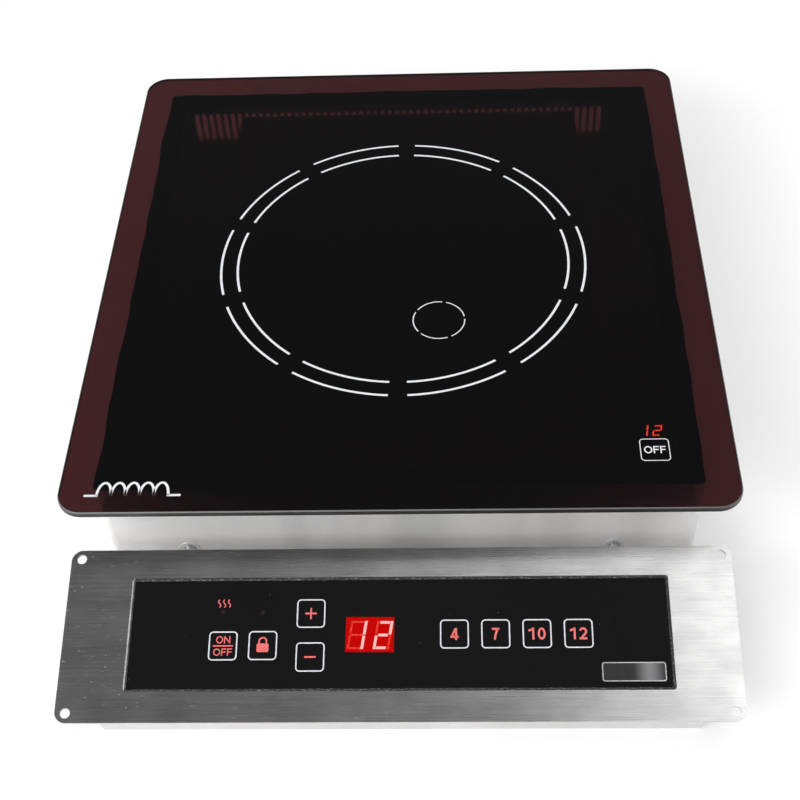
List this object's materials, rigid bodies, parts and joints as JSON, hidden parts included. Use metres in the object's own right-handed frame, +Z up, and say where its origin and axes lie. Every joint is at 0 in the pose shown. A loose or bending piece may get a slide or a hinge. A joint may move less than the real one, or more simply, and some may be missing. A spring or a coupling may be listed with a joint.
{
  "type": "induction cooktop",
  "caption": "Drop-in induction cooktop: a dark glass plate with printed cooking zone on a sheet steel housing, and a separate touch control panel in a brushed steel bezel.",
  "frame": {"origin": "centre of the base's underside, on the hob's vertical axis", "axes": "+X to the user's right, +Y away from the user (the panel lies at -Y), +Z up"},
  "size_m": [0.36, 0.4725, 0.082],
  "materials": {
    "ceramic_glass": "polished, tinted dark red-brown",
    "black_silicone": "satin",
    "housing_steel": "cold rolled, pale satin",
    "screw_steel": "zinc plated",
    "aluminium": "mill finish",
    "ferrite": "sintered, matt",
    "heat_resistant_plastic": "glass filled, matt",
    "copper_litz": "enamelled strands",
    "mica": "flaky, satin",
    "ceramic_felt": "felt",
    "black_plastic": "moulded, fine grain",
    "pale_plastic": "moulded",
    "circuit_board": "green solder mask",
    "capacitor_box": "moulded box",
    "brass": "turned",
    "gland_plastic": "moulded nylon",
    "red_display": "red filter over digits",
    "conductive_rubber": "matt",
    "bezel_steel": "brushed along its length",
    "touch_glass": "black glass, printed from behind",
    "red_lamp": "clear red lens"
  },
  "bodies": {
    "hob": {"glass_plate": "ceramic_glass", "glass_seal": "black_silicone", "housing_shell": "housing_steel", "base_tray": "housing_steel", "housing_screws": "screw_steel", "coil_posts": "aluminium", "coil_bridge": "aluminium", "bridge_screws": "screw_steel", "ferrite_bars": "ferrite", "coil_carrier": "heat_resistant_plastic", "induction_coil": "copper_litz", "mica_sheet": "mica", "insulation_pad": "ceramic_felt", "sensor_holder": "heat_resistant_plastic", "sensor_spring": "screw_steel", "fan_frame": "black_plastic", "fan_screws": "screw_steel", "board_standoffs": "black_plastic", "power_board": "circuit_board", "power_transistors": "black_plastic", "bridge_rectifier": "black_plastic", "heat_sink": "aluminium", "resonance_capacitors": "capacitor_box", "filter_capacitor": "capacitor_box", "filter_choke": "ferrite", "coil_terminals": "brass", "terminal_block": "pale_plastic", "earth_stud": "brass", "mains_gland": "gland_plastic", "mains_gland_nut": "gland_plastic", "control_gland": "gland_plastic", "control_gland_nut": "gland_plastic", "key_posts": "pale_plastic", "key_board": "circuit_board", "key_display": "red_display", "key_pad": "conductive_rubber"},
    "fan": {"fan_rotor": "black_plastic"},
    "sensor": {"sensor_cap": "aluminium"},
    "panel": {"panel_bezel": "bezel_steel", "panel_seal": "black_silicone", "touch_glass": "touch_glass", "glass_carrier": "black_plastic", "board_spacers": "pale_plastic", "control_board": "circuit_board", "touch_pads": "conductive_rubber", "display_module": "red_display", "indicator_lamps": "red_lamp", "control_chip": "black_plastic", "board_connector": "pale_plastic", "panel_box": "housing_steel", "panel_gland": "gland_plastic", "panel_gland_nut": "gland_plastic"}
  },
  "joints": [
    {"name": "fan_spin", "type": "hinge", "parent": "hob", "child": "fan", "pos_m": [-0.096, -0.086, 0.012], "axis": [0, 0, 1], "continuous": true},
    {"name": "sensor_travel", "type": "slide", "parent": "hob", "child": "sensor", "axis": [0, 0, 1], "range_m": [-0.003, 0], "stiffness_N_per_m": 300, "springref_m": 0.004, "deforming": ["sensor_spring"]},
    {"name": "panel_slide", "type": "slide", "parent": "hob", "child": "panel", "axis": [0, -1, 0], "range_m": [0, 0.2]}
  ]
}
